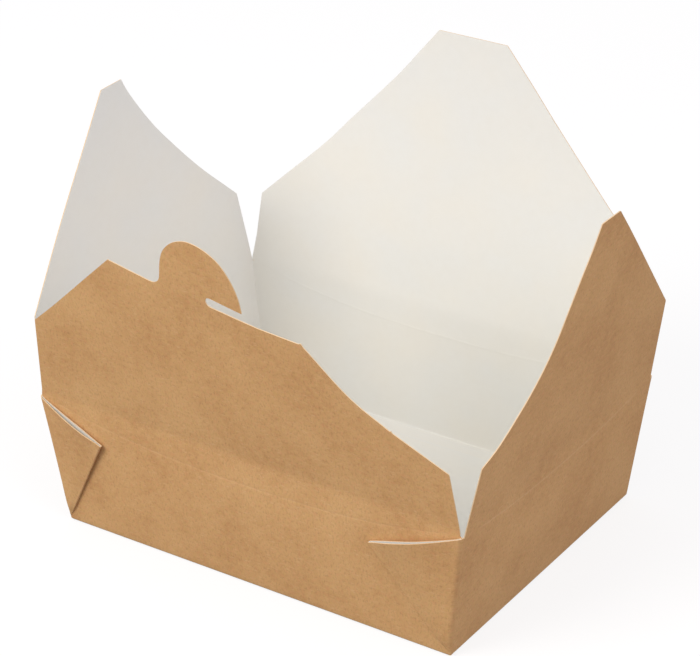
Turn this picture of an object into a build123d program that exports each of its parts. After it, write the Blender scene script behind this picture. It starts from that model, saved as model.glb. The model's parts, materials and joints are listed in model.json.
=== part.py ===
"""Folded paperboard takeaway box with its four lid flaps standing open.

One die-cut sheet makes the whole box: a tray whose corner webs are folded flat against the
outside of the long walls, and four flaps that hinge on the creases along the wall tops.
Millimetres, +Z up, origin at the centre of the underside. The long walls face -Y (front)
and +Y (back), the end walls face -X (left) and +X (right).
"""
from math import atan2, cos, hypot, radians, sin
import os

from build123d import *

# Sheet
board = 0.45                # thickness of the paperboard
crease_clearance = 0.30     # air between a wall's top edge and the flap hinged above it

# Tray
base_length = 197.0         # underside, along X
base_width = 148.0          # underside, along Y
crease_height = 62.0        # height of the back flap's hinge line
end_flare = 8.3             # how far an end wall leans out over crease_height
side_flare = 4.0            # how far a long wall leans out over crease_height
layer_step = 0.75           # hinge lines step by this, so that closed flaps lie on each other
base_edge_radius = 0.4      # round on the creases around the underside

# Corner webs, folded into pockets on the long walls
web_tip_in = 29.0           # web tip from the bottom corner, along the wall
web_tip_up = 46.5           # web tip above the bottom edge, up the wall
web_drop = 0.6              # web's top corner below the end flap's hinge line
pocket_gap = 0.6            # air between the two layers of a web
fold_width = 0.9            # strip where the two layers of a web are one fold

# Flaps: lean from upright with the box open, all outward
front_lean = 7.6
right_lean = 9.4
back_lean = 5.0
left_lean = 7.1
foot_inset = 1.5            # end of a flap's crease from the tray's corner

# Shoulders are (in from the crease's end, up the flap); other outline points are
# (along the crease from its middle, up the flap), seen from outside the box.
# End flaps
tip_overlap = 8.4           # how far each end flap reaches past the middle of the box
tip_half_width = 7.2
left_shoulder = (3.2, 35.5)
left_hollow = (-38.4, 70.0)
right_near_shoulder = (4.5, 31.0)
right_far_shoulder = (1.5, 40.5)
right_hollow_low = (-41.0, 51.5)
right_hollow_high = (-24.0, 79.0)

# Back flap
back_tip_gap = 24.0         # from the front crease to the back flap's tip when it is closed
back_tip_left = 9.5         # the tip's end on the box's left
back_tip_right = 25.0       # and on its right
back_left_shoulder = (3.8, 34.0)
back_right_shoulder = (3.8, 47.0)
back_slant = (53.5, 81.5)

# Front flap, with its hook
front_left_shoulder = (3.0, 40.0)
front_right_shoulder = (2.8, 28.6)
front_peak = (-55.0, 84.2)
front_corner = (38.6, 70.6)
front_slant = (59.4, 51.3)
hook_root = (-31.5, 79.7)   # where the flap's edge turns up into the hook's neck
hook_neck = (-28.6, 83.0)
neck_radius = 3.2
hook_flank = (-26.0, 95.5)
hook_crown = (-11.8, 104.6)
hook_shoulder = (2.5, 98.9)
hook_side = (9.3, 88.0)
hook_tip = (11.0, 77.6)
slot_end = (-4.2, 80.3)     # upper end of the slot's round end
slot_width = 4.4

top_half_length = base_length / 2 + end_flare
top_half_width = base_width / 2 + side_flare
end_hinge_z = crease_height - layer_step
back_hinge_z = crease_height
front_hinge_z = crease_height + layer_step
wall_top_gap = board / 2 + crease_clearance


def half_length_at(z):
    """Outer half length of the tray at height z."""
    return base_length / 2 + end_flare * z / crease_height


def half_width_at(z):
    """Outer half width of the tray at height z."""
    return base_width / 2 + side_flare * z / crease_height


def flap_plane(middle, along, outward, lean):
    """Mid-plane of a flap: x along the hinge, y up the flap, z out of the box."""
    up = Vector(*outward) * sin(radians(lean)) + Vector(0, 0, 1) * cos(radians(lean))
    return Plane(origin=middle, x_dir=along, z_dir=Vector(*along).cross(up))


front_plane = flap_plane(
    (0, board / 2 - half_width_at(front_hinge_z), front_hinge_z), (1, 0, 0), (0, -1, 0), front_lean
)
back_plane = flap_plane(
    (0, half_width_at(back_hinge_z) - board / 2, back_hinge_z), (-1, 0, 0), (0, 1, 0), back_lean
)
right_plane = flap_plane(
    (half_length_at(end_hinge_z) - board / 2, 0, end_hinge_z), (0, 1, 0), (1, 0, 0), right_lean
)
left_plane = flap_plane(
    (board / 2 - half_length_at(end_hinge_z), 0, end_hinge_z), (0, -1, 0), (-1, 0, 0), left_lean
)
long_foot = top_half_length - foot_inset
end_foot = top_half_width - foot_inset
end_reach = top_half_length + tip_overlap
back_reach = 2 * top_half_width - back_tip_gap


# Tray: underside, four leaning walls and the four folded corner webs
rim_z = front_hinge_z - wall_top_gap
with BuildPart() as tray:
    with BuildSketch(Plane.XY):
        Rectangle(base_length, base_width)
    with BuildSketch(Plane.XY.offset(rim_z)):
        Rectangle(2 * half_length_at(rim_z), 2 * half_width_at(rim_z))
    loft()
    fillet(tray.edges().group_by(Axis.Z)[0], base_edge_radius)
    with BuildSketch(Plane.XY.offset(board)):
        Rectangle(2 * (half_length_at(board) - board), 2 * (half_width_at(board) - board))
    with BuildSketch(Plane.XY.offset(rim_z)):
        Rectangle(2 * (half_length_at(rim_z) - board), 2 * (half_width_at(rim_z) - board))
    loft(mode=Mode.SUBTRACT)
    # The end walls and the back wall stop below their own, lower hinge lines
    with BuildSketch(Plane.XY.offset(end_hinge_z - wall_top_gap)):
        Rectangle(3 * top_half_length, 2 * (half_width_at(end_hinge_z) - board))
    extrude(amount=crease_height, mode=Mode.SUBTRACT)
    with BuildSketch(Plane.XY.offset(back_hinge_z - wall_top_gap)):
        with Locations((0, top_half_width)):
            Rectangle(3 * top_half_length, 2 * top_half_width)
    extrude(amount=crease_height, mode=Mode.SUBTRACT)

    wall_slope = hypot(crease_height, side_flare) / crease_height
    web_top_z = end_hinge_z - web_drop
    web_top = web_top_z * wall_slope
    web_thickness = 2 * board + pocket_gap
    for wall in (-1, 1):
        wall_plane = Plane(
            origin=(0, wall * base_width / 2, 0),
            x_dir=(-wall, 0, 0),
            z_dir=(0, wall * crease_height, -side_flare),
        )
        for end in (-1, 1):
            bottom = (end * base_length / 2, 0)
            top = (end * half_length_at(web_top_z), web_top)
            tip = (end * (base_length / 2 - web_tip_in), web_tip_up)
            # Inner and outer layer, with the open pocket between them
            for layer in (0, board + pocket_gap):
                with BuildSketch(wall_plane.offset(layer)):
                    with BuildLine():
                        Polyline(bottom, top, tip, close=True)
                    make_face()
                extrude(amount=board)
            # The folds that close the pocket: along the tray's corner and down the diagonal
            with BuildSketch(wall_plane):
                with BuildLine():
                    Polyline(bottom, top, (top[0] - end * fold_width, top[1]), close=True)
                make_face()
                diagonal = atan2(tip[1] - bottom[1], tip[0] - bottom[0])
                inward = Vector(sin(diagonal), -cos(diagonal)) * (-end * fold_width)
                with BuildLine():
                    Polyline(bottom, tip, (tip[0] - inward.X, tip[1] - inward.Y), close=True)
                make_face()
            extrude(amount=web_thickness)
    split(bisect_by=Plane.XY, keep=Keep.TOP)
tray.part.label = "tray"


# Front flap: a peak on the left, a hook undercut by a slot, and a long slant on the right
with BuildPart() as front_flap:
    left_shoulder_point = (front_left_shoulder[0] - long_foot, front_left_shoulder[1])
    right_shoulder_point = (long_foot - front_right_shoulder[0], front_right_shoulder[1])
    slot_bottom = (slot_end[0] - slot_width / 2, slot_end[1] - slot_width / 2)
    slot_lower_end = (slot_end[0], slot_end[1] - slot_width)
    with BuildSketch(front_plane):
        with BuildLine():
            Polyline((-long_foot, 0), left_shoulder_point, front_peak, hook_root)
            RadiusArc(hook_root, hook_neck, neck_radius)
            Spline(hook_neck, hook_flank, hook_crown, hook_shoulder, hook_side, hook_tip)
            Line(hook_tip, slot_end)
            ThreePointArc(slot_end, slot_bottom, slot_lower_end)
            Line(slot_lower_end, front_corner)
            Spline(front_corner, front_slant, right_shoulder_point)
            Polyline(right_shoulder_point, (long_foot, 0), (-long_foot, 0))
        make_face()
    extrude(amount=board / 2, both=True)
    with Locations(front_plane):
        Cylinder(board / 2, 2 * long_foot, rotation=(0, 90, 0))
front_flap.part.label = "front_flap"


# Back flap: the widest one, with a blunt tip a little to the right of the middle
with BuildPart() as back_flap:
    left_shoulder_point = (long_foot - back_left_shoulder[0], back_left_shoulder[1])
    right_shoulder_point = (back_right_shoulder[0] - long_foot, back_right_shoulder[1])
    with BuildSketch(back_plane):
        with BuildLine():
            Polyline((-long_foot, 0), right_shoulder_point, (-back_tip_right, back_reach))
            Line((-back_tip_right, back_reach), (back_tip_left, back_reach))
            Spline((back_tip_left, back_reach), back_slant, left_shoulder_point)
            Polyline(left_shoulder_point, (long_foot, 0), (-long_foot, 0))
        make_face()
    extrude(amount=board / 2, both=True)
    with Locations(back_plane):
        Cylinder(board / 2, 2 * long_foot, rotation=(0, 90, 0))
back_flap.part.label = "back_flap"


# End flaps: one hollow and one straight slant each, up to a narrow blunt tip
with BuildPart() as right_flap:
    near_shoulder_point = (right_near_shoulder[0] - end_foot, right_near_shoulder[1])
    far_shoulder_point = (end_foot - right_far_shoulder[0], right_far_shoulder[1])
    with BuildSketch(right_plane):
        with BuildLine():
            Polyline((-end_foot, 0), near_shoulder_point)
            Spline(near_shoulder_point, right_hollow_low, right_hollow_high, (-tip_half_width, end_reach))
            Polyline(
                (-tip_half_width, end_reach),
                (tip_half_width, end_reach),
                far_shoulder_point,
                (end_foot, 0),
                (-end_foot, 0),
            )
        make_face()
    extrude(amount=board / 2, both=True)
    with Locations(right_plane):
        Cylinder(board / 2, 2 * end_foot, rotation=(0, 90, 0))
right_flap.part.label = "right_flap"

with BuildPart() as left_flap:
    far_shoulder_point = (left_shoulder[0] - end_foot, left_shoulder[1])
    near_shoulder_point = (end_foot - left_shoulder[0], left_shoulder[1])
    with BuildSketch(left_plane):
        with BuildLine():
            Polyline((-end_foot, 0), far_shoulder_point)
            Spline(far_shoulder_point, left_hollow, (-tip_half_width, end_reach))
            Polyline(
                (-tip_half_width, end_reach),
                (tip_half_width, end_reach),
                near_shoulder_point,
                (end_foot, 0),
                (-end_foot, 0),
            )
        make_face()
    extrude(amount=board / 2, both=True)
    with Locations(left_plane):
        Cylinder(board / 2, 2 * end_foot, rotation=(0, 90, 0))
left_flap.part.label = "left_flap"


os.makedirs("parts", exist_ok=True)
for piece in (tray, front_flap, back_flap, left_flap, right_flap):
    export_step(piece.part, f"parts/{piece.part.label}.step")

print("hinge lines: front z", front_hinge_z, "y", front_plane.origin.Y)
print("             back z", back_hinge_z, "y", back_plane.origin.Y)
print("             ends z", end_hinge_z, "x", left_plane.origin.X, right_plane.origin.X)
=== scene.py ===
"""Looks of the takeaway box: one folded kraft sheet, white inside, four lid flaps standing open."""
import json
import math

import bpy
import numpy as np
from mathutils import Matrix, Vector, noise
from mathutils.geometry import delaunay_2d_cdt


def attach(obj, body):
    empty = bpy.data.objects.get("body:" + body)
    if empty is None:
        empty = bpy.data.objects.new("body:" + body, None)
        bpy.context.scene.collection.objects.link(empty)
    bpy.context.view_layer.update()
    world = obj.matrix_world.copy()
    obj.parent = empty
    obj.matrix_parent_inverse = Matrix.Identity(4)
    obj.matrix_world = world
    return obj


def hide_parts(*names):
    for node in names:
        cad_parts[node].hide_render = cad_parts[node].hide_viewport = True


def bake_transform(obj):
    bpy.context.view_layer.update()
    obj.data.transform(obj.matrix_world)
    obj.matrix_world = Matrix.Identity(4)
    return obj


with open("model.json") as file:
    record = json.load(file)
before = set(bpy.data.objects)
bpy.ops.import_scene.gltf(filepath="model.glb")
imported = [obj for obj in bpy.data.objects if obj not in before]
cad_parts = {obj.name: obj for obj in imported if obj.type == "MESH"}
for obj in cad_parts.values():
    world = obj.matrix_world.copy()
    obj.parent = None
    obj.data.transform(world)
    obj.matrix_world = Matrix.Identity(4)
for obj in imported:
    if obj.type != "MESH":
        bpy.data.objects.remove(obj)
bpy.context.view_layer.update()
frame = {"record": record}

# Lengths are in millimetres until a mesh is made.
MM = 0.001
BOARD = 0.45
BASE_HALF = (98.5, 74.0)        # outer half sizes of the underside along X and Y
FLARE = (8.3, 4.0)              # how far a wall leans out over CREASE_Z
CREASE_Z = 62.0
SEAM = 0.6                      # the walls end this far below the hinge lines, and the fold this far above
FOLD_ROWS = np.linspace(-SEAM, SEAM, 9)
FOLD_RADIUS = 0.9               # middle of the sheet around the underside
CORNER_RADIUS = 0.35            # middle of the sheet at the tray's corners
CORNER_TOP = 61.1               # the walls' height right at the corners
FOLD_STEPS, ARC_STEPS = 6, 4    # steps round the underside's fold and round a corner
BELOW, ABOVE = 24, 5            # rows on a wall below and above its score line
WALL_BULGE, WALL_WAVE = 0.55, 0.35
SCORE, SCORE_WIDTH = 0.06, 0.42     # depth and half width of the curved score lines
SCORE_ROWS = np.array((-0.6, -0.3, 0.0, 0.3, 0.6))
SCORE_CLEAR, SCORE_NEAR = 0.9, 0.62     # the next row is this far off, or this near where there is no room
# Score lines are lighter kraft by these shares: partly fibre wear, partly a painted highlight where a score
# catches the light. The end walls get the stronger painted highlight because the lamps leave their scores
# unseen. CORNER_WEAR is wear round the tray's corners.
LONG_SCORE_WEAR_AND_HIGHLIGHT, END_SCORE_WEAR_AND_HIGHLIGHT, CORNER_WEAR = 0.35, 1.0, 0.3
LID_HALF = (106.4, 77.8)
LID_RISE, LID_WAVE = 1.2, 0.5   # crown of the closed lid, shared by the four flaps
BEND = 4.0                      # a flap reaches its own lean this far above its hinge line

# A point's place in the flat sheet: each side is SIDE_STEP along from the one before, and the
# white face is WHITE_SHIFT from the kraft one, so that no two places share a grain
SIDE_STEP = 230
WHITE_SHIFT = (0, 0, 400)

KRAFT, WHITE, EDGE = 0, 1, 2

joints = {j["name"]: j for j in frame["record"]["behaviour"]["joints"]}


def smooth(t):
    t = np.clip(t, 0.0, 1.0)
    return t * t * (3 - 2 * t)


def upright(z):
    return np.array((0, 0, z))


def wall_lean(axis):
    return math.atan2(FLARE[axis], CREASE_Z)


RING = ("front", "right", "back", "left")


class Side:
    """A side of the box: its hinge line, the direction along it seen from outside, and the way out."""

    def __init__(self, name, along, outward, lean, sag, power):
        self.name = name
        self.order = RING.index(name)
        self.hinge = np.array(joints[name + "_crease"]["pos_m"]) / MM
        self.along = np.array(along, float)
        self.out = np.array(outward, float)
        self.axis = 0 if outward[0] else 1
        self.wall = wall_lean(self.axis)
        self.lean = math.radians(lean)
        self.sag = sag
        self.power = power
        self.far = abs(self.hinge[self.axis])
        across = 1 - self.axis
        self.span = BASE_HALF[across] + FLARE[across] * self.hinge[2] / CREASE_Z

    def crease(self, s):
        """Height of the curved score line below the hinge line, and never in the fold itself."""
        line = -self.sag * (1 - abs(s / (self.span - 1.8)) ** self.power)
        return line, min(line, -SEAM - 1.0)

    def hinge_line(self):
        return self.hinge * (self.out != 0) + upright(self.hinge[2])


SIDES = {side.name: side for side in (
    Side("front", (1, 0, 0), (0, -1, 0), lean=7.6, sag=11.5, power=2.6),
    Side("right", (0, 1, 0), (1, 0, 0), lean=9.4, sag=5.75, power=2.3),
    Side("back", (-1, 0, 0), (0, 1, 0), lean=5.0, sag=11.5, power=2.6),
    Side("left", (0, -1, 0), (-1, 0, 0), lean=7.1, sag=5.75, power=2.3),
)}


class Shell:
    """A growing mesh: points, faces with a material, each point's place in the flat sheet and its fold mark,
    which is partly wear and partly painted highlight.
    """

    def __init__(self):
        self.co, self.flat, self.wear_and_highlight = [], [], []
        self.faces, self.mats, self.soft = [], [], []

    def points(self, co, flat, wear_and_highlight):
        start = len(self.co)
        self.co.extend(np.asarray(co, float).reshape(-1, 3))
        self.flat.extend(np.asarray(flat, float).reshape(-1, 3))
        self.wear_and_highlight.extend(np.asarray(wear_and_highlight, float).reshape(-1))
        return start

    def face(self, ids, mat, soft=True):
        if len(set(ids)) == len(ids):
            self.faces.append(tuple(int(i) for i in ids))
            self.mats.append(mat)
            self.soft.append(soft)

    def grid(self, mid, flat, wear_and_highlight, ring=False, flip=False):
        """A thick sheet around a grid of mid points. Returns the ids of its outer and inner points.
        A ring has no side edges, and its first row is left open."""
        rows, cols = mid.shape[:2]
        if ring:
            wide = np.concatenate([mid[:, -1:], mid, mid[:, :1]], axis=1)
            du = wide[:, 2:] - wide[:, :-2]
        else:
            du = np.gradient(mid, axis=1)
        normal = np.cross(du, np.gradient(mid, axis=0))
        normal /= np.maximum(np.linalg.norm(normal, axis=2, keepdims=True), 1e-12)
        if flip:
            normal = -normal
        count = np.arange(rows * cols).reshape(rows, cols)
        a = self.points(mid + normal * BOARD / 2, flat, wear_and_highlight) + count
        b = self.points(mid - normal * BOARD / 2, flat + WHITE_SHIFT, wear_and_highlight) + count
        last = cols if ring else cols - 1
        for r in range(rows - 1):
            for c in range(last):
                d = (c + 1) % cols
                one = [a[r, c], a[r, d], a[r + 1, d], a[r + 1, c]]
                two = [b[r, c], b[r + 1, c], b[r + 1, d], b[r, d]]
                self.face(one[::-1] if flip else one, KRAFT)
                self.face(two[::-1] if flip else two, WHITE)
        edges = []
        for c in range(last):
            d = (c + 1) % cols
            edges.append([a[-1, c], a[-1, d], b[-1, d], b[-1, c]])
            if not ring:
                edges.append([a[0, d], a[0, c], b[0, c], b[0, d]])
        if not ring:
            for r in range(rows - 1):
                edges.append([a[r + 1, 0], b[r + 1, 0], b[r, 0], a[r, 0]])
                edges.append([a[r, -1], b[r, -1], b[r + 1, -1], a[r + 1, -1]])
        for ids in edges:
            self.face(ids[::-1] if flip else ids, EDGE, soft=False)
        return a, b

    def build(self, name, materials):
        mesh = bpy.data.meshes.new(name)
        mesh.from_pydata([tuple(p * MM) for p in self.co], [], self.faces)
        for m in materials:
            mesh.materials.append(m)
        mesh.polygons.foreach_set("material_index", self.mats)
        mesh.polygons.foreach_set("use_smooth", self.soft)
        flat = mesh.attributes.new("flat_sheet", "FLOAT_VECTOR", "POINT")
        flat.data.foreach_set("vector", np.asarray(self.flat, np.float32).reshape(-1))
        # Per point: how much lighter the kraft is at folds and scores, partly wear and partly painted
        # highlight
        wear_and_highlight = mesh.attributes.new("fold_wear_and_highlight", "FLOAT", "POINT")
        wear_and_highlight.data.foreach_set("value", np.asarray(self.wear_and_highlight, np.float32))
        # An edge between two materials is a cut edge of the sheet, and stays crisp
        kinds = {}
        for poly in mesh.polygons:
            for key in poly.edge_keys:
                kinds.setdefault(key, set()).add(poly.material_index)
        sharp = [len(kinds.get(tuple(sorted(e.vertices)), ())) > 1 for e in mesh.edges]
        crisp = mesh.attributes.get("sharp_edge")
        crisp = crisp or mesh.attributes.new("sharp_edge", "BOOLEAN", "EDGE")
        crisp.data.foreach_set("value", sharp)
        mesh.validate()
        ob = bpy.data.objects.new(name, mesh)
        bpy.context.collection.objects.link(ob)
        return ob


def within(rim, pts):
    """Which points are inside a closed outline."""
    keep = np.zeros(len(pts), bool)
    for a, b in zip(rim, np.roll(rim, -1, axis=0)):
        crosses = (a[1] > pts[:, 1]) != (b[1] > pts[:, 1])
        rise = b[1] - a[1] if b[1] != a[1] else 1e-12
        keep ^= crosses & (pts[:, 0] < a[0] + (pts[:, 1] - a[1]) / rise * (b[0] - a[0]))
    return keep


def inside_of(rim, pts, clear):
    """The points inside a closed outline that are more than clear away from it."""
    near = np.full(len(pts), 1e9)
    for a, b in zip(rim, np.roll(rim, -1, axis=0)):
        d = b - a
        t = np.clip(((pts - a) @ d) / max(d @ d, 1e-12), 0, 1)
        near = np.minimum(near, np.linalg.norm(pts - a - t[:, None] * d, axis=1))
    return pts[within(rim, pts) & (near > clear)]


def fill(rim, inside):
    """Triangles over a closed outline, as indices into the outline's points followed by the inside ones."""
    pts = [Vector((float(x), float(y))) for x, y in np.concatenate([rim, inside])]
    n = len(rim)
    loop = [(i, (i + 1) % n) for i in range(n)]
    _, _, faces, ids, _, _ = delaunay_2d_cdt(pts, loop, [], 0, 1e-6, True)
    tris = [[ids[i][0] for i in f] for f in faces]
    middles = [[sum(pts[i].x for i in t) / 3, sum(pts[i].y for i in t) / 3] for t in tris]
    out = []
    for tri, held in zip(tris, within(rim, np.array(middles))):
        if held:
            p = [pts[i] for i in tri]
            area = sum(p[i - 1].x * p[i].y - p[i].x * p[i - 1].y for i in range(len(p)))
            out.append(tri if area > 0 else tri[::-1])
    return out


# ---------------------------------------------------------------- tray: underside and four walls
def outer_half(axis, z):
    return BASE_HALF[axis] + FLARE[axis] * z / CREASE_Z


def half_at(axis, z):
    """Middle of the sheet at height z, from the middle of the box."""
    return outer_half(axis, z) - BOARD / 2


def crown(fraction, rise):
    """Bulge of a wall: none at its corners, foot and top."""
    return WALL_BULGE * max(1 - fraction ** 2, 0) ** 1.2 * math.sin(math.pi * rise) ** 1.1


def wall_point(side, fraction, z):
    """Middle of the sheet on a wall, its place along and below the hinge line, and how scored it is there."""
    s = fraction * (half_at(1 - side.axis, z) - CORNER_RADIUS)
    rise = np.clip(z / side.hinge[2], 0, 1)
    wave = noise.noise(Vector((s * 0.021, z * 0.03, 7.1 * side.order))) * WALL_WAVE
    bulge = crown(fraction, rise) + wave * (1 - fraction ** 4) * math.sin(math.pi * rise)
    height = (z - side.hinge[2]) / math.cos(side.wall)
    drawn, line = side.crease(s)
    mark = math.exp(-((height - line) / SCORE_WIDTH) ** 2)
    mark *= float(smooth((-SEAM - 1.0 - drawn + 0.4) / 1.2))     # fades out near the wall's ends
    push = bulge - SCORE * mark
    far = half_at(side.axis, z) + push * math.cos(side.wall)
    p = side.along * s + side.out * far + upright(z - push * math.sin(side.wall))
    return p, s, height, mark


def fold_point(side, step):
    """Distance out and height of the middle of the sheet, round the fold at a wall's foot."""
    reach = FOLD_RADIUS * math.tan((math.pi / 2 - side.wall) / 2)
    foot = half_at(side.axis, BOARD / 2) - reach
    turn = -math.pi / 2 + (math.pi / 2 - side.wall) * step / FOLD_STEPS
    return foot + FOLD_RADIUS * math.cos(turn), BOARD / 2 + FOLD_RADIUS * (1 + math.sin(turn))


def wall_heights(side, s):
    """Heights of the rows up a wall, which crowd around the curved score line."""
    top = side.hinge[2] - SEAM * math.cos(side.wall)
    if abs(s) > side.span - 0.5:
        top = min(top, CORNER_TOP)
    low = fold_point(side, FOLD_STEPS)[1]
    line = side.hinge[2] + side.crease(s)[1] * math.cos(side.wall)
    room = line + SCORE_CLEAR < top - 0.05
    return np.concatenate([
        np.linspace(low, line - SCORE_CLEAR, BELOW),
        line + SCORE_ROWS,
        np.linspace(line + (SCORE_CLEAR if room else SCORE_NEAR), top, ABOVE),
    ])


def round_corner(side, across, far, turn):
    """Place in plan on the arc from a side to the next."""
    angle = turn * math.pi / 2
    centre = side.along * (across - CORNER_RADIUS) + side.out * (far - CORNER_RADIUS)
    return centre + CORNER_RADIUS * (side.out * math.cos(angle) + side.along * math.sin(angle))


def core_columns():
    """Each column up the walls: its side, its share of the half width, and its share of the corner's turn."""
    for side in SIDES.values():
        count = 92 if side.axis == 1 else 66
        last = 1 - 1.3 / side.span
        for fraction in sorted([*np.linspace(-1, 1, count), -last, last]):
            yield side, float(fraction), 0.0
        for k in range(1, ARC_STEPS):
            yield side, 1.0, k / ARC_STEPS


def core_grid():
    """The fold round the underside and the four walls, as one ring of columns."""
    columns = list(core_columns())
    rows = FOLD_STEPS + BELOW + len(SCORE_ROWS) + ABOVE
    mid = np.zeros((rows, len(columns), 3))
    flat = np.zeros_like(mid)
    wear_and_highlight = np.zeros(mid.shape[:2])
    for c, (side, fraction, turn) in enumerate(columns):
        other = SIDES[RING[(side.order + 1) % 4]]
        base_s = fraction * side.span
        at = side.order * SIDE_STEP
        heights = wall_heights(side, base_s)
        if turn:
            heights = heights * (1 - turn) + wall_heights(other, -other.span) * turn
        for r in range(FOLD_STEPS):
            far, z = fold_point(side, r)
            across, other_z = fold_point(other, r)
            if turn:
                plan = round_corner(side, across, far, turn)
                mid[r, c] = plan + upright(z * (1 - turn) + other_z * turn)
            else:
                s = fraction * (across - CORNER_RADIUS)
                mid[r, c] = side.along * s + side.out * far + upright(z)
            flat[r, c] = (base_s + at, z - CREASE_Z, 0)
            # The fold round the underside: worn fibres, plus a painted highlight along the fold
            wear_and_highlight[r, c] = 0.9 * math.sin(math.pi * (r + 0.5) / FOLD_STEPS) ** 0.5
        for r, z in enumerate(map(float, heights), FOLD_STEPS):
            if turn:
                plan = round_corner(side, half_at(other.axis, z), half_at(side.axis, z), turn)
                mid[r, c] = plan + upright(z)
                flat[r, c] = (base_s + at, z - side.hinge[2], 0)
                wear_and_highlight[r, c] = CORNER_WEAR
            else:
                mid[r, c], s, height, mark = wall_point(side, fraction, z)
                flat[r, c] = (s + at, height, 0)
                # Score lines: fibre wear plus a painted highlight, stronger on the end walls
                wear_and_highlight[r, c] = (LONG_SCORE_WEAR_AND_HIGHLIGHT if side.axis == 1 else END_SCORE_WEAR_AND_HIGHLIGHT) * mark
    return mid, flat, wear_and_highlight


def add_bottom(shell, ids, z, mat, up):
    """A flat face within the ring of points with these ids."""
    rim = np.array([shell.co[i][:2] for i in ids])
    for i in ids:
        shell.co[i][2] = z
    places = [(x, y) for x in np.arange(-96, 97, 8.0) for y in np.arange(-72, 73, 8.0)]
    inside = inside_of(rim, np.array(places), 2.0)
    co = [(x, y, z) for x, y in inside]
    flat = [(x, y - 200, 0 if up else WHITE_SHIFT[2]) for x, y in inside]
    start = shell.points(co, flat, np.zeros(len(co)))
    names = list(ids) + list(range(start, start + len(co)))
    for tri in fill(rim, inside):
        tri = [names[i] for i in tri]
        shell.face(tri if up else tri[::-1], mat)


# ---------------------------------------------------------------- corner webs
WEB_FOOT = 1.3                  # height at which a web starts
WEB_SINK = (0.2, 0.12)          # how deep in the wall its inner and outer layers start
WEB_RISEN = 0.16                # share of the way up by which they are clear of it
WEB_CORNER = (0.4, 1.4)         # radius round the corner at the foot, and how much it grows
WEB_ROWS = (0.02, 0.05, 0.09, 0.14, 0.2, 0.27, 0.34, 0.41, 0.48, 0.55, 0.62, 0.69, 0.76, 0.83, 0.89,
            0.94, 0.975, 1.0)
WEB_COLUMNS = np.concatenate([
    np.linspace(0, 0.12, 6)[1:], np.linspace(0.16, 0.88, 13), (0.91, 0.94, 0.965, 0.98, 0.99),
])
WEB_TURN = 8                    # steps round the corner, and round the diagonal fold


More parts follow.
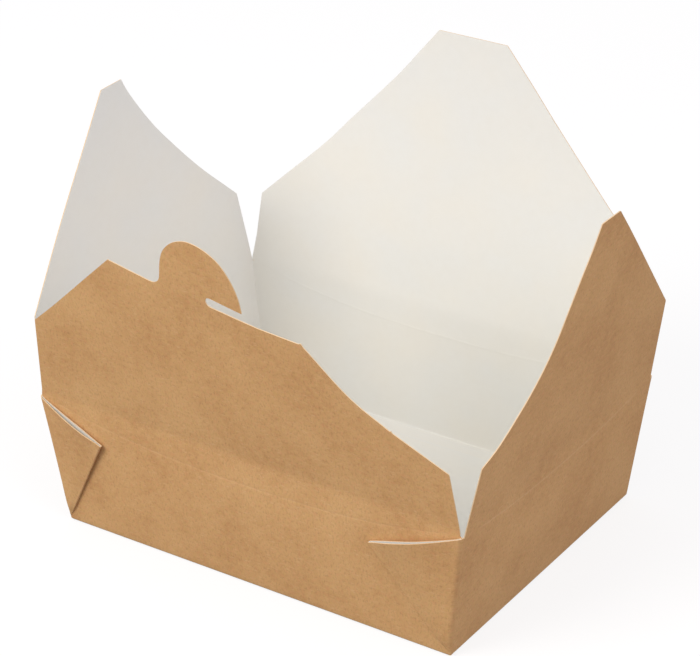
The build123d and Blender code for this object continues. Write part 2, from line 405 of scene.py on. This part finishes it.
class Web:
    """A corner web folded flat on a long wall: two layers with a pocket between them, open at the top.
    wall and end are the signs of its corner's Y and X. The fold runs from the corner's foot to a tip tip_in
    from it and tip_up high; the web meets the corner top_z high. stand and pocket give the air under it and
    in it, at its top edge, for a share of the way from the corner (0) to the fold (1)."""

    def __init__(self, wall, end, tip_in, tip_up, top_z, stand, pocket):
        self.wall, self.end = wall, end
        self.tip_in, self.tip_up, self.top_z = tip_in, tip_up, top_z
        self.stand, self.pocket = stand, pocket
        lean = wall_lean(1)
        self.normal = np.array((0, wall * math.cos(lean), -math.sin(lean)))

    def place(self, x_in, z, d):
        """x_in from the corner along the wall, z up, d out of the wall's outer face."""
        full = outer_half(0, z)
        bulge = crown(1 - x_in / full, min(z / SIDES["front"].hinge[2], 1))
        base = np.array((self.end * (full - x_in), self.wall * outer_half(1, z), z))
        return base + self.normal * (d + bulge)

    def spot(self, u, v):
        """x_in and z, for the share u from corner to fold and the share v of the way up."""
        z = WEB_FOOT + v * (self.top_z - WEB_FOOT) * (1 - u) + v * (self.tip_up - WEB_FOOT) * u
        across = (1 - u) * (outer_half(0, self.top_z) - outer_half(0, WEB_FOOT)) - u * self.tip_in
        return outer_half(0, z) - (outer_half(0, WEB_FOOT) + v * across), z

    def lift(self, u, v):
        """Middles of the inner and outer layers, out of the wall's outer face.
        Both sink into the wall at the web's foot."""
        ramp = float(smooth(v / WEB_RISEN))
        inner = BOARD / 2 + self.stand(u) * v ** 1.3
        outer = inner + BOARD + self.pocket(u) * (0.3 + 0.7 * v ** 5)
        return tuple(d * ramp - (1 - ramp) * sink for d, sink in zip((inner, outer), WEB_SINK))

    def row(self, v):
        """Points, flat places and fold marks (wear and painted highlight) across the web: end wall, corner,
        outer layer, fold, inner layer.
        """
        ramp = float(smooth(v / WEB_RISEN))
        co, flat, wear_and_highlight = [], [], []

        def add(point, along, z, worn_and_lit=0.0):
            co.append(point)
            flat.append((along, z - CREASE_Z, 0))
            wear_and_highlight.append(worn_and_lit)

        # Round the corner, from within the end wall
        radius = WEB_CORNER[0] + WEB_CORNER[1] * ramp
        turn_end = BOARD / 2 + radius
        meets = min(turn_end / self.spot(1, v)[0], 0.4)
        start = self.lift(meets, v)[1] - radius
        corner_z = self.spot(0, v)[1]
        hidden = min(-CORNER_RADIUS - BOARD / 2, start) - 0.15
        add(self.place(BOARD / 2 - 0.03, corner_z, hidden), 0, corner_z)
        for k in range(WEB_TURN + 1):
            a = k / WEB_TURN * math.pi / 2
            x = BOARD / 2 + radius * (1 - math.cos(a))
            z = self.spot(meets * x / turn_end, v)[1]
            point = self.place(x, z, start + radius * math.sin(a))
            add(point, -start - 2 * k / WEB_TURN, z, 0.12 * math.sin(math.pi * k / WEB_TURN))
        # Out to the diagonal
        spread = [meets + (1 - meets) * u for u in WEB_COLUMNS]
        for u in spread:
            x, z = self.spot(u, v)
            add(self.place(max(x, turn_end + 0.1 * u), z, self.lift(u, v)[1]), -x - 2, z)
        # Round the diagonal fold
        fold_x, fold_z = self.spot(1, v)
        low, high = self.lift(1, v)
        bend = (high - low) / 2
        rise = self.tip_up - WEB_FOOT
        across = np.array((rise, -self.tip_in)) / math.hypot(self.tip_in, rise)
        for k in range(WEB_TURN + 1):
            a = k / WEB_TURN * math.pi
            reach = bend * math.sin(a) * 0.9 * ramp
            x, z = fold_x + across[0] * reach, fold_z + across[1] * reach
            point = self.place(x, z, low + bend * (1 + math.cos(a)))
            # Lighter along the diagonal fold: partly worn fibres, partly a painted highlight that also
            # lightens the fold's shadow line
            add(point, -fold_x - 2 - k * 0.2, fold_z, 0.9 * math.sin(math.pi * k / WEB_TURN))
        # And back to the corner
        for u in spread[::-1]:
            x, z = self.spot(u, v)
            add(self.place(x, z, self.lift(u, v)[0]), x - 2 * fold_x - 2, z)
        inner_end = min(0.7, fold_x * 0.3)
        add(self.place(inner_end, corner_z, self.lift(0, v)[0]), -2 * fold_x - 2, corner_z)
        return co, flat, wear_and_highlight

    def add_to(self, shell):
        mid, flat, wear_and_highlight = (np.array(part) for part in zip(*[self.row(v) for v in WEB_ROWS]))
        flat[:, :, 0] = flat[:, :, 0] * -self.end * self.wall + 520 + 90 * self.end + 40 * self.wall
        shell.grid(mid, flat, wear_and_highlight, flip=self.wall * self.end < 0)


def bump_shape(peak, top, at_corner, at_fold):
    """Air across a web: its values at the corner and the diagonal, and its widest place and value."""
    def shape(u):
        if u < peak:
            return at_corner + (top - at_corner) * math.sin(math.pi / 2 * u / peak)
        return at_fold + (top - at_fold) * float(smooth((1 - u) / (1 - peak)))
    return shape


WEBS = (
    Web(-1, 1, 36.0, 45.5, 61.5, bump_shape(0.5, 2.0, 0.05, 0.5), bump_shape(0.8, 1.45, 0.12, 0.8)),
    Web(-1, -1, 24.0, 47.5, 62.3, bump_shape(0.6, 0.8, 0.05, 1.2), bump_shape(0.66, 1.9, 0.15, 0.6)),
    Web(1, 1, 30.0, 46.0, 61.2, bump_shape(0.5, 0.6, 0.05, 0.2), bump_shape(0.65, 1.0, 0.2, 0.5)),
    Web(1, -1, 31.0, 46.5, 61.2, bump_shape(0.5, 0.8, 0.05, 0.1), bump_shape(0.6, 0.8, 0.2, 0.4)),
)


def make_tray(materials):
    shell = Shell()
    a, b = shell.grid(*core_grid(), ring=True)
    add_bottom(shell, a[0], 0.0, KRAFT, False)
    add_bottom(shell, b[0], BOARD, WHITE, True)
    for web in WEBS:
        web.add_to(shell)
    return shell.build("tray_sheet", materials)


# ---------------------------------------------------------------- flaps
def curve(points, step=0.8):
    """Points along a smooth curve through the given ones."""
    p = np.array(points, float)
    p = np.concatenate([[2 * p[0] - p[1]], p, [2 * p[-1] - p[-2]]])
    out = []
    for i in range(1, len(p) - 2):
        n = max(2, int(np.linalg.norm(p[i + 1] - p[i]) / step))
        k0, k1, k2 = [max(np.linalg.norm(p[i + j] - p[i + j - 1]), 1e-6) ** 0.5 for j in (0, 1, 2)]
        m1 = (p[i + 1] - p[i]) + k1 * ((p[i] - p[i - 1]) / k0 - (p[i + 1] - p[i - 1]) / (k0 + k1))
        m2 = (p[i + 1] - p[i]) + k1 * ((p[i + 2] - p[i + 1]) / k2 - (p[i + 2] - p[i]) / (k1 + k2))
        for t in np.arange(n) / n:
            h = (2 * t**3 - 3 * t**2 + 1, t**3 - 2 * t**2 + t, -2 * t**3 + 3 * t**2, t**3 - t**2)
            out.append(h[0] * p[i] + h[1] * m1 + h[2] * p[i + 1] + h[3] * m2)
    out.append(p[-2])
    return out


def outline(parts, blunt=0.5, step=1.6):
    """A closed outline from corners and smooth runs, with each corner slightly blunt, evenly divided.
    Its ends in the fold are divided as the fold is."""
    pts = []
    for part in parts:
        if isinstance(part, tuple):
            pts.append(np.array(part, float))
        else:
            pts.extend(curve(part))
    pts = [p for i, p in enumerate(pts) if np.linalg.norm(p - pts[i - 1]) > 1e-4]
    out = []
    n = len(pts)
    for i in range(n):
        a, p, b = pts[i - 1], pts[i], pts[(i + 1) % n]
        u, w = a - p, b - p
        lu, lw = np.linalg.norm(u), np.linalg.norm(w)
        turn = math.acos(np.clip(-(u @ w) / lu / lw, -1, 1))
        if turn > 0.3 and p[1] > 1:
            r = min(blunt, lu * 0.4, lw * 0.4)
            s, e = p + u / lu * r, p + w / lw * r
            for t in (0.0, 0.25, 0.5, 0.75, 1.0):
                out.append((1 - t) ** 2 * s + 2 * t * (1 - t) * p + t * t * e)
        else:
            out.append(p)
    dense = []
    for i, p in enumerate(out):
        q = out[(i + 1) % len(out)]
        in_fold = max(p[1], q[1]) < SEAM + 0.01 and abs(q[1] - p[1]) > SEAM
        n = len(FOLD_ROWS) - 1 if in_fold else max(1, int(np.linalg.norm(q - p) / step + 0.5))
        dense.extend(p + (q - p) * k / n for k in range(n))
    return np.array(dense)


LONG_FOOT = 105.3
END_FOOT = 76.5
CLOSE_LONG, CLOSE_END = 106.2, 77.6     # the feet that meet at the back left corner
OUTLINES = {
    "front": outline([
        (-106.1, -SEAM), (-106.1, SEAM), (-105.7, 3.0), (-102.3, 40.0),
        [(-102.3, 40.0), (-90.2, 50.9), (-73.4, 66.8), (-55.0, 84.2)],
        (-55.0, 84.2), (-34.5, 80.1),
        [(-34.5, 80.1), (-32.2, 80.0), (-30.3, 80.9), (-29.0, 82.7), (-28.3, 85.5)],
        [(-28.3, 85.5), (-27.4, 90.5), (-25.6, 95.8), (-22.6, 99.8), (-18.4, 102.8), (-12.3, 104.5),
         (-4.6, 103.1), (2.5, 98.8), (7.4, 92.0), (10.2, 84.5), (11.2, 77.4)],
        (11.2, 77.4), (-4.2, 80.3),
        [(-4.2, 80.3), (-5.9, 79.9), (-6.5, 78.2), (-5.7, 76.5), (-4.2, 75.9)],
        (-4.2, 75.9), (18.0, 72.6), (37.6, 70.9), (38.2, 71.5), (38.9, 70.9),
        [(39.3, 70.1), (59.4, 51.3), (76.6, 41.0)], (77.0, 41.4), (77.6, 40.5), (102.5, 28.6),
        (104.6, 8.0), (LONG_FOOT, SEAM), (LONG_FOOT, -SEAM),
    ]),
    "right": outline([
        (-END_FOOT, -SEAM), (-END_FOOT, SEAM), (-74.9, 11.7), (-72.2, 31.0),
        [(-72.2, 31.0), (-61.5, 35.6), (-49.5, 44.4), (-41.4, 51.5), (-34.0, 60.0), (-28.0, 69.6),
         (-22.4, 82.0), (-16.4, 95.0), (-11.6, 104.5), (-7.4, 114.9)],
        (-7.4, 114.9), (6.8, 114.9), (75.0, 40.5), (END_FOOT, SEAM), (END_FOOT, -SEAM),
    ]),
    "left": outline([
        (-CLOSE_END, -SEAM), (-CLOSE_END, SEAM), (-76.4, 11.4), (-73.3, 35.4),
        [(-73.3, 35.4), (-65.9, 42.4), (-51.8, 55.8), (-38.4, 70.2), (-25.6, 85.2), (-18.1, 95.7),
         (-13.2, 103.3), (-9.1, 110.6), (-7.3, 114.9)],
        (-7.3, 114.9), (6.9, 114.9),
        [(6.9, 114.9), (19.9, 99.8), (47.0, 68.4), (73.2, 36.2)],
        (END_FOOT, SEAM), (END_FOOT, -SEAM),
    ]),
    "back": outline([
        (-LONG_FOOT, -SEAM), (-LONG_FOOT, SEAM), (-101.5, 47.0),
        [(-101.5, 47.0), (-78.0, 72.3), (-51.7, 101.4), (-38.8, 116.4), (-25.0, 132.0)],
        (-25.0, 132.0), (9.5, 132.0),
        [(9.5, 132.0), (18.8, 120.6), (29.7, 107.4), (53.3, 82.0), (67.0, 67.0), (85.3, 49.6), (101.5, 34.2)],
        (103.9, 13.0), (CLOSE_LONG, SEAM), (CLOSE_LONG, -SEAM),
    ]),
}


NEXT_ROWS = (0.9, 1.4, 2.0, 3.0, 4.0)   # heights of the rows of points above the fold
APART = 3.0                             # distance between the points over the rest of a flap


def lid_share(x, y):
    """1 over the middle of the closed lid, 0 at its edges."""
    return (1 - (x / LID_HALF[0]) ** 2) * (1 - (y / LID_HALF[1]) ** 2)


def dome(x, y):
    """Rise of the closed lid, shared by all four flaps so that they lie on each other."""
    wave = noise.noise(Vector((x * 0.018, y * 0.018, 3.3)))
    return LID_RISE * lid_share(x, y) + LID_WAVE * max(0.0, lid_share(x, y)) * wave


def flap_point(side, s, h):
    """Middle of a flap's sheet, s along its hinge line and h up the flap."""
    def lean(t):
        return side.wall + (side.lean - side.wall) * float(smooth(t / BEND))

    if h <= 0:
        out, up, push = h * math.sin(side.wall), h * math.cos(side.wall), 0.0
    else:
        steps = 8
        run = min(h, BEND) / steps
        leans = [lean((k + 0.5) * run) for k in range(steps)]
        out = sum(math.sin(a) for a in leans) * run + math.sin(side.lean) * max(h - BEND, 0)
        up = sum(math.cos(a) for a in leans) * run + math.cos(side.lean) * max(h - BEND, 0)
        closed = side.along * s + side.out * (side.far - h)
        push = dome(closed[0], closed[1]) * float(smooth(h / 6.0))
    a = lean(max(h, 0))
    out += push * math.cos(a)
    up -= push * math.sin(a)
    return side.hinge_line() + side.along * s + side.out * out + upright(up)


def make_flap(name, side, materials):
    rim = OUTLINES[side.name]
    span = LONG_FOOT if side.axis == 1 else END_FOOT
    foot = rim[np.isclose(rim[:, 1], -SEAM), 0]
    near_fold = [(s, h) for h in (*FOLD_ROWS[1:], *NEXT_ROWS) for s in foot]
    further = [
        (s + APART / 2 * (j % 2), 6.0 + 2.6 * j) for j in range(52) for s in np.arange(-span, span, APART)
    ]
    inside = np.concatenate([
        inside_of(rim, np.array(near_fold), 0.1), inside_of(rim, np.array(further), 0.55),
    ])
    both = np.concatenate([rim, inside])
    step = 0.05
    mid = np.array([flap_point(side, s, h) for s, h in both])
    du = np.array([flap_point(side, s + step, h) for s, h in both]) - mid
    dv = np.array([flap_point(side, s, h + step) for s, h in both]) - mid
    normal = np.cross(du, dv)
    normal /= np.linalg.norm(normal, axis=1, keepdims=True)
    normal[both[:, 1] <= 0] = side.out * math.cos(side.wall) - upright(math.sin(side.wall))
    shell = Shell()
    worn_and_lit = np.zeros(len(both))
    flat = np.column_stack([both[:, 0] + side.order * SIDE_STEP, both[:, 1], worn_and_lit])
    a = shell.points(mid + normal * BOARD / 2, flat, worn_and_lit)
    b = shell.points(mid - normal * BOARD / 2, flat + WHITE_SHIFT, worn_and_lit)
    for tri in fill(rim, inside):
        shell.face([a + i for i in tri], KRAFT)
        shell.face([b + i for i in tri[::-1]], WHITE)
    n = len(rim)
    for i in range(n):
        j = (i + 1) % n
        shell.face([a + j, a + i, b + i, b + j], EDGE)
    ob = shell.build(name, materials)
    line = side.hinge_line()
    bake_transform(ob)
    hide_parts(side.name + "_flap")
    return ob


# ---------------------------------------------------------------- materials
def linear(r, g, b):
    def one(v):
        v /= 255
        return v / 12.92 if v <= 0.04045 else ((v + 0.055) / 1.055) ** 2.4
    return (one(r), one(g), one(b), 1.0)


def plug(tree, socket, value):
    """Link a socket to another's value, or set it."""
    if isinstance(value, bpy.types.NodeSocket):
        tree.links.new(value, socket)
    else:
        socket.default_value = value


class Nodes:
    """A material's nodes."""

    def __init__(self, name):
        self.mat = bpy.data.materials.new(name)
        self.mat.use_nodes = True
        self.tree = self.mat.node_tree
        self.shader = self.tree.nodes["Principled BSDF"]

    def add(self, kind, **inputs):
        node = self.tree.nodes.new(kind)
        for name, value in inputs.items():
            plug(self.tree, node.inputs[name.replace("_", " ")], value)
        return node.outputs[0]

    def attribute(self, name, output):
        node = self.tree.nodes.new("ShaderNodeAttribute")
        node.attribute_name = name
        return node.outputs[output]

    def noise(self, where, scale, detail=3.0, rough=0.55):
        return self.add("ShaderNodeTexNoise", Vector=where, Scale=scale, Detail=detail, Roughness=rough)

    def stretched(self, where, scale, turn=0.0):
        return self.add("ShaderNodeMapping", Vector=where, Scale=scale, Rotation=(0, 0, turn))

    def ramp(self, value, low, high):
        return self.add("ShaderNodeMapRange", Value=value, From_Min=low, From_Max=high)

    def bump(self, height, distance, strength):
        return self.add("ShaderNodeBump", Height=height, Distance=distance, Strength=strength)

    def math(self, operation, *values):
        node = self.tree.nodes.new("ShaderNodeMath")
        node.operation = operation
        for socket, value in zip(node.inputs, values):
            plug(self.tree, socket, value)
        return node.outputs[0]

    def mix(self, share, a, b):
        node = self.tree.nodes.new("ShaderNodeMix")
        node.data_type = "RGBA"
        for index, value in ((0, share), (6, a), (7, b)):
            plug(self.tree, node.inputs[index], value)
        return node.outputs[2]

    def tint(self, colour, value, low, high, strength, other):
        """The colour turned to another, by strength where value is high, and not at all where it is low."""
        return self.mix(self.math("MULTIPLY", self.ramp(value, low, high), strength), colour, other)

    def finish(self, colour, rough, normal):
        for name, value in (("Base Color", colour), ("Roughness", rough), ("Normal", normal)):
            plug(self.tree, self.shader.inputs[name], value)
        return self.mat


def kraft_material():
    n = Nodes("kraft_outside")
    where = n.attribute("flat_sheet", "Vector")
    wear_and_highlight = n.attribute("fold_wear_and_highlight", "Fac")
    broad = n.noise(where, 0.03, 2.0)
    cloud = n.noise(where, 0.22, 4.0, 0.6)
    fleck = n.noise(n.stretched(where, (1.0, 0.55, 1.0)), 1.15, 3.0, 0.6)
    fibre_a = n.noise(n.stretched(where, (0.35, 2.6, 1.0), 0.5), 0.9, 2.0, 0.5)
    fibre_b = n.noise(n.stretched(where, (2.4, 0.3, 1.0), 0.35), 0.9, 2.0, 0.5)
    hue = n.noise(where, 0.55, 2.0, 0.5)
    colour = n.mix(n.ramp(broad, 0.35, 0.65), linear(202, 153, 100), linear(217, 171, 116))
    colour = n.tint(colour, cloud, 0.35, 0.62, 0.40, linear(226, 182, 127))
    colour = n.tint(colour, fleck, 0.5, 0.72, 0.42, linear(160, 111, 62))
    colour = n.tint(colour, fibre_a, 0.56, 0.74, 0.40, linear(233, 200, 162))
    colour = n.tint(colour, fibre_b, 0.58, 0.76, 0.26, linear(171, 125, 81))
    colour = n.tint(colour, hue, 0.52, 0.72, 0.30, linear(222, 154, 108))
    colour = n.tint(colour, hue, 0.48, 0.28, 0.30, linear(215, 175, 102))
    # Folds and score lines lighter: partly worn fibres, partly a painted highlight
    colour = n.mix(n.math("MULTIPLY", wear_and_highlight, 0.30), colour, linear(233, 198, 154))
    rough = n.math("MULTIPLY_ADD", cloud, 0.16, 0.62)
    height = n.math("ADD", n.math("MULTIPLY", fibre_a, 0.5), n.math("MULTIPLY", fleck, 0.6))
    n.shader.inputs["Specular IOR Level"].default_value = 0.35
    return n.finish(colour, rough, n.bump(height, 0.00006, 0.55))


def white_material():
    n = Nodes("white_inside")
    where = n.attribute("flat_sheet", "Vector")
    wear_and_highlight = n.attribute("fold_wear_and_highlight", "Fac")
    broad = n.noise(where, 0.025, 2.0)
    cloud = n.noise(where, 0.25, 3.0)
    fine = n.noise(where, 1.6, 3.0)
    colour = n.mix(n.ramp(broad, 0.35, 0.65), linear(228, 228, 223), linear(230, 228, 220))
    colour = n.tint(colour, cloud, 0.4, 0.7, 0.12, linear(222, 219, 209))
    # The white face slightly darker and warmer along the same folds and score lines
    colour = n.mix(n.math("MULTIPLY", wear_and_highlight, 0.05), colour, linear(206, 200, 186))
    rough = n.math("MULTIPLY_ADD", cloud, 0.12, 0.42)
    height = n.math("ADD", fine, n.math("MULTIPLY", cloud, 0.6))
    n.shader.inputs["Specular IOR Level"].default_value = 0.4
    return n.finish(colour, rough, n.bump(height, 0.00005, 0.35))


def edge_material():
    n = Nodes("cut_edge")
    grain = n.noise(n.attribute("flat_sheet", "Vector"), 1.4, 2.0)
    colour = n.mix(n.ramp(grain, 0.3, 0.7), linear(216, 185, 142), linear(231, 206, 170))
    return n.finish(colour, 0.8, n.bump(grain, 0.00005, 0.4))


materials = [kraft_material(), white_material(), edge_material()]

tray = make_tray(materials)
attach(tray, "tray")
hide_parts("tray")
for name in RING:
    make_flap(name + "_flap_sheet", SIDES[name], materials)


# ---------------------------------------------------------------- stage, lights, camera
def any_ray(tree, first, *others):
    """1 for rays of the given kinds."""
    path = tree.nodes.new("ShaderNodeLightPath")
    value = path.outputs[first]
    for kind in others:
        either = tree.nodes.new("ShaderNodeMath")
        either.operation = "MAXIMUM"
        tree.links.new(value, either.inputs[0])
        tree.links.new(path.outputs[kind], either.inputs[1])
        value = either.outputs[0]
    return value


def coloured(tree, kind, colour, strength=None):
    node = tree.nodes.new(kind)
    node.inputs["Color"].default_value = (*colour, 1)
    if strength is not None:
        node.inputs["Strength"].default_value = strength
    return node


def finish_tree(tree, output, share, usual, seen):
    """Mix two shaders by a share, into the tree's output."""
    mix = tree.nodes.new("ShaderNodeMixShader")
    tree.links.new(share, mix.inputs[0])
    tree.links.new(usual.outputs[0], mix.inputs[1])
    tree.links.new(seen.outputs[0], mix.inputs[2])
    tree.links.new(mix.outputs[0], tree.nodes.new(output).inputs[0])


FLOOR_GREY = 0.12               # what the floor sends back to the box
FLOOR_GLOW = 0.80               # share of plain white in the floor that the camera sees


def floor_material():
    """Nearly white to the camera and in reflections, keeping the shadow; a matt grey to all other light."""
    mat = bpy.data.materials.new("floor_white")
    mat.use_nodes = True
    tree = mat.node_tree
    tree.nodes.clear()
    seen = any_ray(tree, "Is Camera Ray", "Is Glossy Ray", "Is Transmission Ray")
    albedo = tree.nodes.new("ShaderNodeMix")
    albedo.data_type = "RGBA"
    albedo.inputs[6].default_value = (FLOOR_GREY, FLOOR_GREY, FLOOR_GREY, 1)
    albedo.inputs[7].default_value = (1, 1, 1, 1)
    tree.links.new(seen, albedo.inputs[0])
    diffuse = tree.nodes.new("ShaderNodeBsdfDiffuse")
    tree.links.new(albedo.outputs[2], diffuse.inputs["Color"])
    share = tree.nodes.new("ShaderNodeMath")
    share.operation = "MULTIPLY"
    share.inputs[1].default_value = FLOOR_GLOW
    tree.links.new(seen, share.inputs[0])
    glow = coloured(tree, "ShaderNodeEmission", (1, 1, 1))
    finish_tree(tree, "ShaderNodeOutputMaterial", share.outputs[0], diffuse, glow)
    return mat


def make_floor():
    mesh = bpy.data.meshes.new("studio_floor")
    r = 6.0
    mesh.from_pydata([(-r, -r, 0), (r, -r, 0), (r, r, 0), (-r, r, 0)], [], [(0, 1, 2, 3)])
    mesh.materials.append(floor_material())
    ob = bpy.data.objects.new("studio_floor", mesh)
    bpy.context.collection.objects.link(ob)
    ob.location.z = -0.0002


def make_world():
    world = bpy.data.worlds.new("studio")
    bpy.context.scene.world = world
    world.use_nodes = True
    tree = world.node_tree
    tree.nodes.clear()
    usual = coloured(tree, "ShaderNodeBackground", (0.985, 0.965, 1.0), 0.72)
    seen = coloured(tree, "ShaderNodeBackground", (1, 1, 1), 1.0)
    share = any_ray(tree, "Is Camera Ray", "Is Transmission Ray")
    finish_tree(tree, "ShaderNodeOutputWorld", share, usual, seen)


def area_light(name, place, size, power, colour):
    """A round soft light, turned to the middle of the box."""
    data = bpy.data.lights.new(name, "AREA")
    data.shape = "DISK"
    data.size = size
    data.energy = power
    data.color = colour
    ob = bpy.data.objects.new(name, data)
    bpy.context.collection.objects.link(ob)
    ob.location = place
    ob.rotation_euler = (Vector((0, 0, 0.07)) - Vector(place)).to_track_quat("-Z", "Y").to_euler()


# Fitted to the corners of the box in the photograph, 700 pixels wide
CAMERA_AT = Vector((0.5834, -0.8527, 0.6395))
AZIMUTH, ELEVATION, ROLL = (math.radians(v) for v in (34.30, 28.02, -1.08))
FOCAL_PIXELS, WIDTH_PIXELS, SENSOR = 2738.0, 700.0, 36.0


def make_camera():
    level = math.cos(ELEVATION)
    forward = Vector((-math.sin(AZIMUTH) * level, math.cos(AZIMUTH) * level, -math.sin(ELEVATION)))
    right = forward.cross(Vector((0, 0, 1))).normalized()
    up = right.cross(forward)
    c, s = math.cos(ROLL), math.sin(ROLL)
    right, up = c * right + s * up, -s * right + c * up
    data = bpy.data.cameras.new("camera")
    data.sensor_width = SENSOR
    data.sensor_fit = "HORIZONTAL"
    data.lens = SENSOR * FOCAL_PIXELS / WIDTH_PIXELS
    data.clip_start = 0.01
    camera = bpy.data.objects.new("camera", data)
    bpy.context.collection.objects.link(camera)
    turn = Matrix((right, up, -forward)).transposed().to_4x4()
    camera.matrix_world = Matrix.Translation(CAMERA_AT) @ turn
    bpy.context.scene.camera = camera


make_floor()
make_world()
area_light("key", (-0.50, -1.10, 1.15), size=1.0, power=15.5, colour=(1.0, 0.97, 0.93))
area_light("side_fill", (1.15, -0.30, 0.95), size=1.1, power=6.0, colour=(1.0, 0.92, 0.97))
make_camera()
bpy.context.scene.view_settings.view_transform = "Standard"
